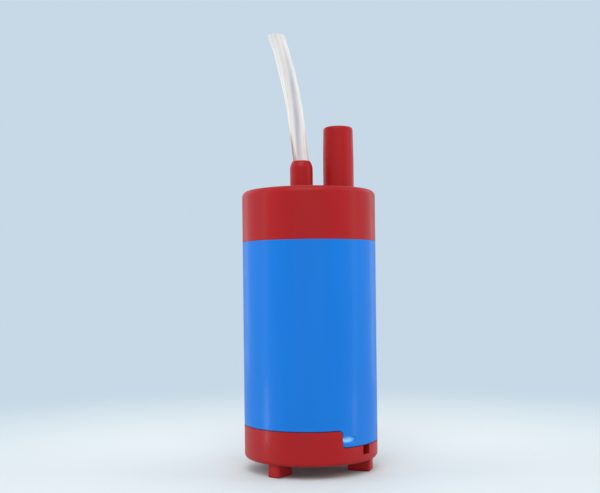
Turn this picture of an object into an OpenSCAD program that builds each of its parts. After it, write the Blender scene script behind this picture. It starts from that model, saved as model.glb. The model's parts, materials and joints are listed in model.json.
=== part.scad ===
// Submersible caravan water pump: a red cap with a hose outlet and a cable entry, a blue housing
// and a red base on three feet, around a sealed motor that drives a centrifugal impeller.
// Millimetres, Z up. The origin is on the axis, in the plane that the feet stand on.

/* [Body] */
// Outside diameter of the cap, the housing and the base
body_d = 45; // [40:0.5:50]
// Wall of the housing tube
housing_wall = 1.9; // [1.5:0.1:2.1]
// Length of the housing between the base rim and the cap
housing_len = 61.2; // [54:0.2:76]
// Open seam between the housing and the base
seam_gap = 0.25; // [0.1:0.05:0.4]
// Radial clearance of a spigot in the tube around it
spigot_gap = 0.1; // [0.05:0.05:0.2]
// Gap between two pieces that are stacked on each other
seat_gap = 0.05; // [0.02:0.01:0.1]

/* [Base] */
// Height of the base from its underside to its rim
base_h = 11.1; // [10:0.1:14]
// Thickness of the base floor
base_floor = 2; // [1.5:0.1:2.5]
// Rounding of the bottom edge of the base
base_edge = 1.3; // [0.5:0.1:1.5]
// Length of the collar that enters the housing
collar_len = 5; // [4:0.5:6]
// Wall of the collar
collar_wall = 2; // [1.8:0.1:2.2]
// Diameter of the water inlet
inlet_d = 13; // [11:0.5:16]
// Width of the guard bars across the inlet
guard_bar = 1.6; // [1.2:0.1:2]
// Diameter of the hub where the guard bars cross
guard_hub_d = 5; // [4:0.5:6]
// Diameter of the gate mark on the base
gate_d = 1.2; // [0.8:0.1:1.6]
// Depth of the gate mark
gate_depth = 0.15; // [0.1:0.05:0.5]
// Height of the gate mark above the underside of the base
gate_level = 6.8; // [4:0.1:8]
// Direction of the gate mark, in degrees
gate_turn = 232; // [180:1:300]

/* [Feet] */
// Height of the feet
foot_h = 4.2; // [3:0.1:8]
// Width of a foot, across the radius
foot_w = 4.6; // [4:0.2:7]
// Length of a foot, along the radius
foot_l = 7.8; // [5:0.2:8]
// Distance of a foot's outer face from the wall of the base
foot_inset = 1.4; // [1.2:0.1:5.5]
// Rounding of a foot's upright edges
foot_edge = 0.9; // [0.4:0.1:1.2]
// Chamfer round a foot's sole
foot_chamfer = 0.5; // [0.2:0.1:0.8]
// Direction midway between the two front feet, in degrees
foot_turn = -72; // [-110:1:-20]
// Angle between the two front feet, in degrees; the third foot stands opposite them
foot_spread = 108; // [90:2:130]

/* [Snap tongue] */
// Width of the recess for the tongue
tongue_w = 20; // [14:0.5:24]
// Depth of the recess below the rim
tongue_h = 5.5; // [4:0.5:6.5]
// Direction of the tongue, in degrees
tongue_turn = -37; // [-60:1:0]
// Rounding of the recess's lower corners
tongue_corner = 1.15; // [0.6:0.05:1.6]
// Rounding of the rim's corners beside the recess
tongue_root = 1.3; // [0.8:0.1:1.8]
// Width of the release slot under the tongue
slot_w = 3.6; // [2:0.2:5]
// Height of the release slot
slot_h = 3; // [2:0.2:3.2]
// Depth of the release slot
slot_depth = 2.6; // [1.5:0.1:3]
// Height of the catch inside the tongue
catch_h = 1.2; // [0.8:0.1:1.6]
// Reach of the catch into the collar
catch_reach = 0.4; // [0.2:0.05:0.6]
// Width of the catch
catch_w = 7; // [4:0.5:10]
// Width of the nail scoop at the front end of the tongue
scoop_w = 4.8; // [3:0.2:6]
// Height of the nail scoop
scoop_h = 1.9; // [1:0.1:2.2]
// Depth of the nail scoop at its top
scoop_depth = 0.7; // [0.3:0.1:1]
// Distance of the nail scoop's top from the rim of the base
scoop_drop = 2; // [1:0.1:2.4]

/* [Cap] */
// Height of the cap above the housing
cap_h = 17.1; // [15:0.1:22]
// Rounding of the top edge of the cap
cap_fillet = 2; // [1:0.1:3]
// Thickness of the cap roof
cap_roof = 2.3; // [2:0.1:3]
// Wall of the cap
cap_wall = 2.2; // [1.8:0.1:2.6]
// Length of the spigot that enters the housing
spigot_len = 4; // [3.5:0.1:5]
// Wall of the spigot
spigot_wall = 1.9; // [1.7:0.1:2.1]

/* [Hose outlet] */
// Outside diameter of the hose outlet
spout_d = 10.5; // [9:0.1:11]
// Height of the hose outlet above the cap
spout_len = 22.4; // [18:0.2:30]
// Length of the straight part of the outlet
spout_straight = 12; // [8:0.5:15]
// Diameter at the tip of the outlet
spout_tip_d = 10.1; // [8.8:0.1:10.4]
// Rounding of the tip
spout_round = 1; // [0.4:0.1:1.2]
// Bore of the outlet
spout_bore = 6.8; // [5.5:0.1:7]
// How much wider the outlet is where it passes the cap roof
tail_shank = 0.4; // [0.3:0.05:0.5]
// Reach of the flange that seats the outlet under the cap roof
tail_flange = 0.9; // [0.6:0.1:1.2]
// Place of the outlet to the right of the axis
spout_x = 10.4; // [9.5:0.05:11.5]
// Place of the outlet behind the axis
spout_y = 4; // [2:0.5:5]

/* [Cable entry] */
// Outside diameter of the cable gland
gland_d = 7.7; // [7:0.1:8.4]
// Height of the gland above the cap
gland_len = 10.2; // [8:0.2:14]
// Height of the rounded shoulder at the top of the gland
gland_cone = 2.8; // [0.8:0.1:3.2]
// Thickness of the lip round the cable
gland_lip = 0.15; // [0.1:0.05:0.3]
// Place of the gland to the right of the axis
gland_x = -2.3; // [-4:0.1:-1]
// Place of the gland behind the axis
gland_y = -1; // [-2:0.5:1]
// Diameter of the cable
cable_d = 5.4; // [4.8:0.1:5.6]
// Clearance round the cable in its bores
cable_gap = 0.1; // [0.05:0.05:0.15]
// Thickness of the flanges of outlet and gland under the cap roof
seat_flange = 1.2; // [0.8:0.1:1.6]
// Height of the rubber seal round the cable
seal_h = 3.3; // [2.5:0.1:4]
// Wall of the tube that brings the cable out of the motor cover
tower_wall = 1.6; // [1.2:0.1:2]
// Length of the cap socket that takes that tube
socket_len = 7.2; // [6.5:0.1:8]

/* [Motor casing] */
// Width of the water way between the housing and the sleeve
water_way = 1.6; // [1.3:0.1:2]
// Wall of the motor sleeve
sleeve_wall = 1; // [0.8:0.1:1.2]
// Clearance of the motor in its sleeve
motor_gap = 0.1; // [0.05:0.05:0.2]
// Distance of the bulkhead's underside below the top of the base collar
bulkhead_drop = 4.6; // [4:0.1:5]
// Thickness of the bulkhead
bulkhead_t = 2.4; // [1.8:0.1:3]
// Width of the water way between the sleeve and the collar
water_gap = 0.8; // [0.5:0.1:1]
// Number of ribs that centre the sleeve
rib_count = 6; // [4:1:8]
// Thickness of those ribs
rib_t = 1.6; // [1.2:0.1:2.2]
// Height of the ribs that space the cap from the motor cover
fin_h = 2.5; // [2.2:0.1:3.5]
// Depth of the motor cover's plug in the sleeve
plug_len = 4.5; // [4:0.1:6]
// Thickness of the motor cover
cover_t = 1.3; // [1:0.1:1.8]
// Inside height of the motor cover above the sleeve
dome_h = 8.5; // [8:0.1:9.5]

/* [Motor] */
// Wall of the motor can
can_wall = 1; // [0.8:0.1:1.2]
// Rounding of the can's front edge
can_round = 1.5; // [1:0.1:2.5]
// Diameter of the bearing boss on the can's front
boss_d = 13; // [12:0.2:15]
// Height of that boss
boss_h = 3.2; // [2.8:0.1:3.6]
// Shaft diameter
shaft_d = 3.2; // [3:0.1:3.4]
// Radial running clearance of the shaft
run_gap = 0.02; // [0.01:0.01:0.05]
// Diameter of the two bearing bushes
bush_d = 8.8; // [7.5:0.1:9]
// Thickness of the magnets
magnet_t = 3.7; // [3:0.1:4.2]
// Reach of the magnets past each end of the armature's stack
magnet_over = 3; // [1:0.5:4]
// Angle that each magnet covers
magnet_arc = 130; // [110:1:140]
// Air gap between the magnets and the armature
air_gap = 0.6; // [0.4:0.05:0.8]

/* [Armature] */
// Room between the coils and the commutator's hooks
coil_head = 2.3; // [2:0.1:4]
// Number of armature poles
pole_count = 5; // [5:2:5]
// Width of a pole's neck
neck_w = 3.4; // [2.8:0.1:4]
// Thickness of a pole's shoe
shoe_t = 2.2; // [1.6:0.1:2.8]
// Opening between two pole shoes
shoe_gap = 1.8; // [1.2:0.1:2.4]
// Depth of the room for the coils, between the armature's hub and its shoes
coil_depth = 5.35; // [4.8:0.05:5.6]
// Thickness of the insulating star at each end of the stack
star_t = 0.8; // [0.5:0.1:1]
// Thickness of the wound coils
coil_t = 3; // [2:0.1:3.1]
// Commutator diameter
comm_d = 8.4; // [8:0.1:9]
// Length of the commutator
comm_len = 6.5; // [6:0.1:7]
// Gap between two commutator segments
comm_slit = 0.5; // [0.3:0.05:0.7]

/* [Brush gear] */
// Length of the room for a brush spring behind its brush
spring_room = 4.75; // [3.8:0.05:5.5]
// Width of a brush
brush_w = 3.8; // [3.2:0.1:4.2]
// Height of a brush
brush_h = 4.9; // [4:0.1:5.2]
// Clearance of a brush in its holder
brush_gap = 0.1; // [0.05:0.05:0.15]
// Sheet thickness of the brush holders
holder_t = 0.4; // [0.3:0.05:0.5]
// Wall of the end bell's cradles round the holders
cradle_wall = 0.9; // [0.7:0.1:1.2]
// Wire diameter of a brush spring
spring_wire = 0.42; // [0.3:0.02:0.46]
// Outside diameter of a brush spring
spring_d = 3.2; // [2.6:0.1:3.6]
// Turns of a brush spring
spring_turns = 4.5; // [3.5:0.5:5]
// Thickness of the end bell's flange
bell_flange = 1.5; // [1.2:0.1:2]
// Depth of the end bell inside the can
bell_plug = 3; // [2.6:0.1:3.4]
// Thickness of a terminal tab
tab_t = 0.6; // [0.4:0.1:0.8]
// Width of a terminal tab
tab_w = 3.2; // [2.8:0.1:3.6]
// Height of a terminal tab above the end bell
tab_h = 6.5; // [5:0.1:7]
// Diameter of a motor lead
lead_d = 1.8; // [1.4:0.1:2]

/* [Impeller] */
// Impeller diameter
impeller_d = 30; // [26:0.5:32]
// Thickness of the impeller disc
disc_t = 1.5; // [1.2:0.1:2]
// Gap between the impeller disc and the bulkhead
disc_gap = 2; // [1.5:0.1:2.5]
// Gap between the vanes and the base floor
vane_gap = 0.6; // [0.4:0.1:1]
// Number of vanes
vane_count = 6; // [5:1:7]
// Thickness of a vane
vane_t = 1.3; // [1:0.1:1.6]
// Radius to which the vanes are curved
vane_curve = 10.5; // [9.5:0.1:12]
// Angle that a vane sweeps back
vane_sweep = 75; // [60:1:85]
// Diameter of the impeller hub
impeller_hub_d = 7.4; // [6.4:0.1:8]

/* [Seals] */
// Thickness of the O-rings
ring_t = 1.3; // [1.1:0.05:1.4]
// Diameter of the shaft seal
lip_seal_d = 10; // [9:0.1:10.6]
// Height of the shaft seal
lip_seal_h = 4.5; // [4:0.1:4.8]

/* [Hidden] */
$fn = 96;

// Colours
red = "firebrick";
blue = "dodgerblue";
rubber = "#202022";
brass = "#c8a54a";
steel = "#b8bcc0";

// A little overlap that makes two solids of one piece fuse
bite = 0.2;
// How far a cut runs past the solid that it cuts
over = 1;
// More than the reach of any piece from the axis
far = 60;
// Gap between two pieces that touch
touch_gap = 0.02;
// Clearance of a piece that is pressed into its seat
press_gap = 0.05;
// Steps in a quarter turn of a drawn arc
arc_steps = 8;

// Middle of the snap catch, halfway up the tongue, and its play in its pocket
z_catch = foot_h + base_h - tongue_h / 2;
catch_slack = 0.2;

// Radii of the shells
body_r = body_d / 2;
housing_ir = body_r - housing_wall;
spigot_r = housing_ir - spigot_gap;
spigot_ir = spigot_r - spigot_wall;
collar_ir = spigot_r - collar_wall;
cap_ir = body_r - cap_wall;
foot_reach = body_r - foot_inset;
foot_turns = [foot_turn - foot_spread / 2, foot_turn + foot_spread / 2, foot_turn + 180];

// Levels of the shells, from the feet up
z_base = foot_h;
z_chamber = z_base + base_floor;
z_rim = z_base + base_h;
z_collar = z_rim + collar_len;
z_seam = z_rim + housing_len;
z_cap = z_seam + cap_h;
z_roof = z_cap - cap_roof;
z_spout = z_cap + spout_len;
z_gland = z_cap + gland_len;
z_spigot = z_seam - spigot_len;

// O-ring grooves: the ring fills the width from the groove's bottom to the tube around it
ring_side_gap = 0.1;
groove_h = ring_t + 2 * ring_side_gap;
groove_r = housing_ir - ring_t - 2 * touch_gap;
z_base_ring = (z_rim + z_collar) / 2;
z_cap_ring = (z_spigot + z_seam) / 2;

// Motor casing
sleeve_r = housing_ir - water_way;
sleeve_ir = sleeve_r - sleeve_wall;
motor_r = sleeve_ir - motor_gap;
rib_r = spigot_r - spigot_gap;
z_bulkhead = z_collar - bulkhead_drop;
lip_seat_slack = 0.3;
z_boss_seat = z_bulkhead + lip_seal_h + lip_seat_slack;
z_motor = z_boss_seat + seat_gap + boss_h;
cone_margin = 1;
cone_wall = 1.5;
z_cone = z_motor - cone_margin;
seat_wall = 4;
z_sleeve = z_spigot - seat_gap - fin_h;
flange_t = 1;
dome_gap = 1.4;
dome_r = spigot_ir - dome_gap;
dome_ir = dome_r - cover_t;
z_dome = z_sleeve + dome_h;

// Radius of the sleeve's cone at a height, which leaves the water way free inside the collar
cone_slope = (sleeve_r - (collar_ir - water_gap)) / (z_cone - z_collar);
function cone_r(z) = min(sleeve_r, sleeve_r - (z_cone - z) * cone_slope);

// Cable entry and outlet
cable_r = cable_d / 2;
cable_bore_r = cable_r + cable_gap;
tower_r = cable_bore_r + tower_wall;
socket_ir = tower_r + spigot_gap;
socket_wall = 1.7;
shank_r = spout_d / 2 + tail_shank;
z_flanges = z_roof - seat_gap - seat_flange;
z_tower = z_flanges - seal_h - 2 * seat_gap;
cable_tail = 2;
z_cable_end = z_dome - cable_tail;

// Motor, from the front to the rear
can_ir = motor_r - can_wall;
shaft_r = shaft_d / 2;
shaft_bore_r = shaft_r + run_gap;
bush_r = bush_d / 2;
bush_seat_r = bush_r + press_gap;
bush_inset = 0.2;
boss_floor = 0.7;
boss_clear = 0.15;
shaft_clear = 0.6;
z_can_floor = z_motor + can_wall;
z_cover_plug = z_sleeve + seat_gap - plug_len;
z_flange = z_cover_plug - seat_gap;
z_bell = z_flange - bell_flange;
z_plug = z_bell - bell_plug;
motor_len = z_bell - z_motor;
magnet_r = can_ir - press_gap;
magnet_ir = magnet_r - magnet_t;
clip_t = 0.8;
clip_gap = 2;
clip_inset = 2;

// Armature and commutator
core_r = magnet_ir - air_gap;
hub_r = core_r - shoe_t - coil_depth;
washer_t = 0.6;
washer_r = 3.4;
spacer_step = 0.2;
spacer_r = washer_r - spacer_step;
coil_gap = 0.1;
coil_end = star_t + coil_gap + coil_t;
coil_clear = 0.9;
z_core = z_can_floor + coil_clear + coil_end;
comm_r = comm_d / 2;
segment_t = 1;
comm_hub_r = comm_r - segment_t - press_gap;
comm_hub_over = 0.2;
tang_h = 0.7;
tang_reach = 0.75;
comm_clear = 0.5;
z_comm_top = z_plug - comm_clear;
z_comm = z_comm_top - comm_len;
core_len = z_comm - coil_head - coil_end - z_core;
z_magnet = z_core - magnet_over;
magnet_len = core_len + 2 * magnet_over;

// Brush gear
brush_clear = 0.05;
brush_low_gap = 0.2;
brush_in = comm_r + brush_clear;
z_brush = z_comm + tang_h + brush_low_gap + brush_h / 2;
holder_in_gap = 0.25;
holder_out_gap = 1.1;
holder_in = comm_r + tang_reach + holder_in_gap;
holder_out = can_ir - holder_out_gap;
spring_end = holder_out - holder_t;
brush_out = spring_end - spring_room;
holder_w = brush_w + 2 * (brush_gap + holder_t);
holder_h = brush_h + 2 * (brush_gap + holder_t);
cradle_gap = 0.05;
cradle_w = holder_w + 2 * (cradle_gap + cradle_wall);
cradle_inset = 0.5;
cradle_end = 0.3;
bell_boss_wall = 1.7;
bell_boss_r = bush_seat_r + bell_boss_wall;
bush_step = 0.6;
z_bush_rear = z_plug + bush_step;
bush_rear_h = 4.9;
shaft_end = 0.1;
shaft_end_gap = 0.2;
bell_boss_roof = 1.2;
z_shaft_top = z_bush_rear + bush_rear_h + shaft_end;
z_bell_roof = z_shaft_top + shaft_end_gap;
z_bell_boss = z_bell_roof + bell_boss_roof;
tab_inset = 3.8;
tab_x = holder_out - tab_inset;
tab_gap = 0.1;
z_tab = z_flange + tab_h;

// Impeller
impeller_r = impeller_d / 2;
impeller_hub_r = impeller_hub_d / 2;
z_disc = z_bulkhead - disc_gap - disc_t;
z_vane = z_chamber + vane_gap;
hub_tip = 0.8;
z_shaft = z_vane + hub_tip;
vane_inset = 0.4;

// Free cable: its centre line from the mouth of the gland to its cut end
cable_route = [
    [0, 0, 0], [-0.35, 0, 3], [-0.65, -0.1, 6], [-1, -0.2, 9], [-1.35, -0.4, 12],
    [-1.75, -0.5, 15], [-2.2, -0.7, 18], [-2.7, -0.9, 21], [-3.25, -1.2, 24], [-3.9, -1.4, 27],
    [-4.6, -1.7, 30], [-5.35, -2, 33], [-6.15, -2.4, 36], [-7.05, -2.7, 39], [-8, -3.1, 41.8]
];
cable_sides = 12;

// Points of a ring of a swept tube, square to the direction dir
function unit(v) = v / norm(v);
function ring_points(centre, dir, r, sides) =
    let (along = unit(dir))
    let (side = unit(cross(abs(along.y) < 0.7 ? [0, 1, 0] : [1, 0, 0], along)))
    let (up = cross(along, side))
    [for (i = [0:sides - 1]) centre + r * (cos(360 * i / sides) * side + sin(360 * i / sides) * up)];

// Directions along a path, with upright end rings where ends is set
function directions(path, ends) =
    let (last = len(path) - 1)
    [for (i = [0:last])
        (i == 0 || i == last) && !is_undef(ends) ? ends
        : path[min(i + 1, last)] - path[max(i - 1, 0)]];

// Cubic curve between a and d, pulled towards b and c
function curve(a, b, c, d, steps) = [for (i = [0:steps])
    let (t = i / steps, u = 1 - t) u * u * u * a + 3 * u * u * t * b + 3 * u * t * t * c + t * t * t * d];

// Solid tube along a path
module swept_tube(path, r, sides, ends = undef) {
    count = len(path);
    dirs = directions(path, ends);
    points = [for (i = [0:count - 1]) each ring_points(path[i], dirs[i], r, sides)];
    walls = [for (i = [0:count - 2], k = [0:sides - 1])
        let (a = i * sides + k, b = i * sides + (k + 1) % sides)
        each [[a, a + sides, b], [b, a + sides, b + sides]]];
    start_cap = [for (k = [1:sides - 2]) [0, k, k + 1]];
    end_first = (count - 1) * sides;
    end_cap = [for (k = [1:sides - 2]) [end_first, end_first + k + 1, end_first + k]];
    polyhedron(points, concat(walls, start_cap, end_cap), convexity = 8);
}

// Tube between two radii and two heights
module tube(outer, inner, low, high) {
    rotate_extrude() translate([inner, low]) square([outer - inner, high - low]);
}

// Ring of round section that touches the radius outer from inside
module o_ring(outer, level) {
    rotate_extrude() translate([outer - touch_gap - ring_t / 2, level]) circle(d = ring_t);
}

// Cut for an O-ring in the outside of a spigot
module ring_groove(bottom_r, level) {
    tube(bottom_r + ring_t + over, bottom_r, level - groove_h / 2, level + groove_h / 2);
}

// Copies of the children around the axis
module around(count, first = 0) {
    for (i = [0:count - 1]) rotate(first + 360 * i / count) children();
}

// Flat shape drawn across the radius and up, pushed outwards along the radius at an angle
module outwards(angle, from, to) {
    rotate(angle) translate([from, 0, 0]) rotate([90, 0, 90]) linear_extrude(to - from) children();
}

// Rectangle with round corners, centred
module rounded_rectangle(x, y, r) {
    square([x - 2 * r, y], center = true);
    square([x, y - 2 * r], center = true);
    for (sx = [-1, 1], sy = [-1, 1]) translate([sx * (x / 2 - r), sy * (y / 2 - r)]) circle(r);
}

// Points of an arc round a centre, between two directions
function arc(centre, r, from, to) = [for (i = [0:arc_steps])
    let (a = from + (to - from) * i / arc_steps) centre + r * [cos(a), sin(a)]];

// Outline of the tongue's recess, or of the tongue itself where shrink is the seam's gap
module tongue_outline(shrink) {
    half = tongue_w / 2 - shrink;
    low = z_rim - tongue_h + shrink;
    top = z_rim + shrink + bite;
    corner = tongue_corner - shrink;
    root = tongue_root + shrink;
    root_x = tongue_w / 2 + tongue_root;
    root_z = z_rim - tongue_root;
    polygon(concat(
        arc([-half + corner, low + corner], corner, 180, 270),
        arc([half - corner, low + corner], corner, 270, 360),
        arc([root_x, root_z], root, 180, 90),
        [[root_x, top], [-root_x, top]],
        arc([-root_x, root_z], root, 90, 0)));
}

// Blue tube with the snap tongue on its lower edge
module housing() {
    color(blue) difference() {
        union() {
            tube(body_r, housing_ir, z_rim + seam_gap, z_seam - seat_gap);
            intersection() {
                tube(body_r, housing_ir, z_base, z_rim + seam_gap + bite);
                outwards(tongue_turn, 0, far) tongue_outline(seam_gap);
            }
            snap_catch(catch_reach, catch_w, 0);
        }
        nail_scoop();
    }
}

// Scoop at the front end of the tongue, to lift it by: deepest at its top and its open end
module nail_scoop() {
    high = z_rim - scoop_drop;
    low = high - scoop_h - over * scoop_h / scoop_depth;
    end = tongue_w / 2;
    end_r = sqrt(body_r * body_r - end * end);
    intersection() {
        rotate_extrude() polygon([
            [body_r - scoop_depth, high], [body_r + over, high], [body_r + over, low]]);
        rotate(tongue_turn) linear_extrude(z_rim) polygon([
            [end_r - scoop_depth, -end], [body_r + over, -end], [body_r + over, scoop_w - end],
            [sqrt(body_r * body_r - pow(end - scoop_w, 2)), scoop_w - end]]);
    }
}

// Wedge inside the tongue that locks under the edge of its pocket
module snap_catch(reach, width, slack) {
    low = z_catch - catch_h / 2 - slack;
    high = z_catch + catch_h / 2 + slack;
    intersection() {
        rotate_extrude() polygon([
            [housing_ir + bite, low], [housing_ir + bite, high],
            [housing_ir - reach, high], [housing_ir - reach / 2, low]]);
        outwards(tongue_turn, 0, far) translate([-width / 2, low]) square([width, high - low]);
    }
}

// Foot block, standing on the ground plane, with its outer face at foot_reach
module foot() {
    top = foot_h + bite;
    translate([foot_reach - foot_l / 2, 0, 0]) intersection() {
        linear_extrude(top) rounded_rectangle(foot_l, foot_w, foot_edge);
        chamfered_bar(foot_l, foot_w, top);
        rotate(90) chamfered_bar(foot_w, foot_l, top);
    }
}

// Bar whose two lower edges are chamfered, as wide as across along X
module chamfered_bar(across, along, height) {
    half = across / 2;
    rotate([90, 0, 0]) linear_extrude(along, center = true) polygon([
        [-half + foot_chamfer, 0], [half - foot_chamfer, 0], [half, foot_chamfer],
        [half, height], [-half, height], [-half, foot_chamfer]]);
}

// Section of the base: floor, outer wall and the collar that enters the housing
module base_section() {
    translate([0, z_base]) square([body_r - base_edge, base_floor]);
    translate([body_r - base_edge, z_base + base_edge]) circle(base_edge);
    translate([collar_ir, z_base + base_edge]) square([body_r - collar_ir, base_h - base_edge]);
    translate([collar_ir, z_base + bite])
        square([spigot_r - collar_ir, z_collar - z_base - bite]);
}

// Guard across the inlet: two bars that cross in a small hub
module inlet_guard() {
    reach = inlet_d / 2 + bite;
    translate([0, 0, z_base]) linear_extrude(base_floor) {
        circle(d = guard_hub_d);
        square([2 * reach, guard_bar], center = true);
        square([guard_bar, 2 * reach], center = true);
    }
}

// Red base with its feet, the inlet and the recess for the tongue
module base() {
    slot_low = z_rim - tongue_h - slot_h;
    color(red) {
        difference() {
            rotate_extrude() base_section();
            translate([0, 0, z_base - over]) cylinder(d = inlet_d, h = base_floor + 2 * over);
            intersection() {
                tube(body_r + over, spigot_r, z_base, z_rim + over);
                outwards(tongue_turn, 0, far) tongue_outline(0);
            }
            outwards(tongue_turn, body_r - slot_depth, body_r + over)
                translate([-slot_w / 2, slot_low]) square([slot_w, slot_h + bite]);
            snap_catch(catch_reach + spigot_gap, catch_w + 2 * catch_slack, catch_slack);
            outwards(gate_turn, body_r - gate_depth, body_r + over)
                translate([0, z_base + gate_level]) circle(d = gate_d);
            ring_groove(groove_r, z_base_ring);
        }
        inlet_guard();
        for (turn = foot_turns) rotate(turn) foot();
    }
}

// Half section of the cap: roof, round edge, wall, spigot and the ramp that joins them
module cap_section() {
    ramp = cap_ir - spigot_ir;
    translate([0, z_roof]) square([body_r - cap_fillet, cap_roof]);
    translate([body_r - cap_fillet, z_cap - cap_fillet]) circle(cap_fillet);
    translate([cap_ir, z_seam]) square([body_r - cap_ir, cap_h - cap_fillet]);
    translate([spigot_ir, z_spigot]) square([spigot_r - spigot_ir, spigot_len + bite]);
    polygon([
        [spigot_ir, z_seam], [body_r - bite, z_seam], [body_r - bite, z_seam + ramp + bite],
        [cap_ir, z_seam + ramp]]);
}

// Red cap with the seats of the hose outlet and the gland and the socket for the cable tube
module top_cap() {
    color(red) difference() {
        union() {
            rotate_extrude() cap_section();
            translate([gland_x, gland_y, z_roof - socket_len])
                cylinder(r = socket_ir + socket_wall, h = socket_len + bite);
        }
        translate([spout_x, spout_y, z_roof - over])
            cylinder(r = shank_r + press_gap, h = cap_roof + 2 * over);
        translate([gland_x, gland_y, 0]) {
            translate([0, 0, z_roof - over]) cylinder(r = gland_d / 2 + press_gap, h = cap_roof + 2 * over);
            translate([0, 0, z_roof - socket_len - over]) cylinder(r = socket_ir, h = socket_len + over);
        }
        ring_groove(groove_r, z_cap_ring);
    }
}

// Hose outlet: flange under the roof, straight tube, then a taper to the round tip
module hose_tail() {
    straight = z_cap + spout_straight;
    tip_r = spout_tip_d / 2;
    flange_r = spout_d / 2 + tail_flange;
    color(red) translate([spout_x, spout_y, 0]) difference() {
        rotate_extrude() {
            polygon([
                [0, z_flanges], [flange_r, z_flanges], [flange_r, z_roof - seat_gap],
                [shank_r, z_roof - seat_gap], [shank_r, z_cap], [spout_d / 2, z_cap],
                [spout_d / 2, straight], [tip_r, z_spout - spout_round],
                [tip_r - spout_round, z_spout], [0, z_spout]]);
            translate([tip_r - spout_round, z_spout - spout_round]) circle(spout_round);
        }
        translate([0, 0, z_flanges - over]) cylinder(d = spout_bore, h = z_spout - z_flanges + 2 * over);
    }
}

// Cable gland: flange on the seal, tube, and a rounded shoulder that closes in on the cable
module cable_gland() {
    flange_r = socket_ir - cable_gap;
    close = gland_d / 2 - cable_bore_r - gland_lip;
    shoulder = [for (i = [0:arc_steps]) let (t = i / arc_steps)
        [gland_d / 2 - close * t * t, z_gland - gland_cone * (1 - t)]];
    color(red) translate([gland_x, gland_y, 0]) difference() {
        rotate_extrude() polygon(concat(
            [[0, z_flanges], [flange_r, z_flanges], [flange_r, z_roof - seat_gap],
            [gland_d / 2, z_roof - seat_gap]], shoulder, [[0, z_gland]]));
        translate([0, 0, z_flanges - over]) cylinder(r = cable_bore_r, h = z_gland - z_flanges + 2 * over);
    }
}

module cap_o_ring() {
    color(rubber) o_ring(housing_ir, z_cap_ring);
}

module base_o_ring() {
    color(rubber) o_ring(housing_ir, z_base_ring);
}

// Free end of the cable, cut off level
module cable() {
    color("whitesmoke") translate([gland_x, gland_y, z_gland])
        swept_tube(cable_route, cable_r, cable_sides, ends = [0, 0, 1]);
}

// Cable from the mouth of the gland down into the motor cover
module cable_inner() {
    color("whitesmoke") translate([gland_x, gland_y, z_cable_end])
        cylinder(r = cable_r, h = z_gland - z_cable_end);
}

// Rubber bush that seals the cable between its tube and the cap
module cable_seal() {
    color(rubber) translate([gland_x, gland_y, 0])
        tube(socket_ir - cable_gap, cable_r + cable_gap / 2, z_tower + seat_gap, z_flanges - seat_gap);
}

// Sleeve round the motor: bulkhead with the seats of seal and motor, cone, tube and ribs
module motor_sleeve() {
    seat_r = boss_d / 2 + boss_clear;
    lip_r = lip_seal_d / 2 + press_gap;
    z_inside = z_bulkhead + bulkhead_t;
    z_rib = z_collar + seat_gap;
    rib_inset = 0.4;
    color("#3a3d42") {
        rotate_extrude() polygon([
            [lip_r, z_bulkhead], [cone_r(z_bulkhead), z_bulkhead], [sleeve_r, z_cone],
            [sleeve_r, z_sleeve], [sleeve_ir, z_sleeve], [sleeve_ir, z_motor - seat_gap],
            [cone_r(z_inside) - cone_wall, z_inside], [seat_r + seat_wall, z_inside],
            [seat_r + seat_wall, z_motor - seat_gap], [seat_r, z_motor - seat_gap],
            [seat_r, z_boss_seat], [lip_r, z_boss_seat]]);
        around(rib_count) rotate([90, 0, 0]) linear_extrude(rib_t, center = true) polygon([
            [cone_r(z_rib) - bite, z_rib], [rib_r, z_rib], [rib_r, z_sleeve - rib_inset],
            [sleeve_ir + bite, z_sleeve - rib_inset], [sleeve_ir + bite, z_cone]]);
    }
}

// Cover of the motor: plug, flange, ribs that carry the cap, dome and the cable's tube
module motor_cover() {
    plug_r = sleeve_ir - motor_gap;
    z_low = z_sleeve + seat_gap;
    color("#3a3d42") difference() {
        union() {
            rotate_extrude() {
                translate([dome_ir, z_cover_plug]) square([plug_r - dome_ir, z_low - z_cover_plug + bite]);
                translate([dome_ir, z_low]) square([sleeve_r - dome_ir, flange_t]);
                translate([dome_ir, z_low]) square([dome_r - dome_ir, z_dome - z_low]);
                translate([0, z_dome]) square([dome_r - cover_t, cover_t]);
                intersection() {
                    translate([dome_r - cover_t, z_dome]) circle(cover_t);
                    translate([0, z_dome]) square([dome_r, cover_t]);
                }
            }
            around(rib_count) translate([dome_r - bite, -rib_t / 2, z_low])
                cube([rib_r - dome_r + bite, rib_t, fin_h - seat_gap]);
            translate([gland_x, gland_y, z_dome]) cylinder(r = tower_r, h = z_tower - z_dome);
        }
        translate([gland_x, gland_y, z_dome - over])
            cylinder(r = cable_bore_r, h = z_tower - z_dome + 2 * over);
        ring_groove(sleeve_ir - ring_t - 2 * touch_gap, (z_cover_plug + z_low) / 2);
    }
}

module cover_o_ring() {
    color(rubber) o_ring(sleeve_ir, (z_cover_plug + z_sleeve + seat_gap) / 2);
}

// Lip seal: outer wall, web and the lip that runs on the shaft
module shaft_seal() {
    outer = lip_seal_d / 2;
    wall = 0.8;
    web = 1;
    lip_t = 0.6;
    lip_slope = 0.9;
    top = z_bulkhead + lip_seal_h;
    neck = shaft_bore_r + lip_slope;
    color(rubber) rotate_extrude() {
        translate([outer - wall, z_bulkhead]) square([wall, lip_seal_h]);
        translate([neck, top - web]) square([outer - neck, web]);
        polygon([
            [neck + lip_t, top], [neck, top], [shaft_bore_r, z_bulkhead + 2 * lip_t],
            [shaft_bore_r, z_bulkhead + lip_t], [shaft_bore_r + lip_t, z_bulkhead + lip_t],
            [neck + lip_t, top - web]]);
    }
}

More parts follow.
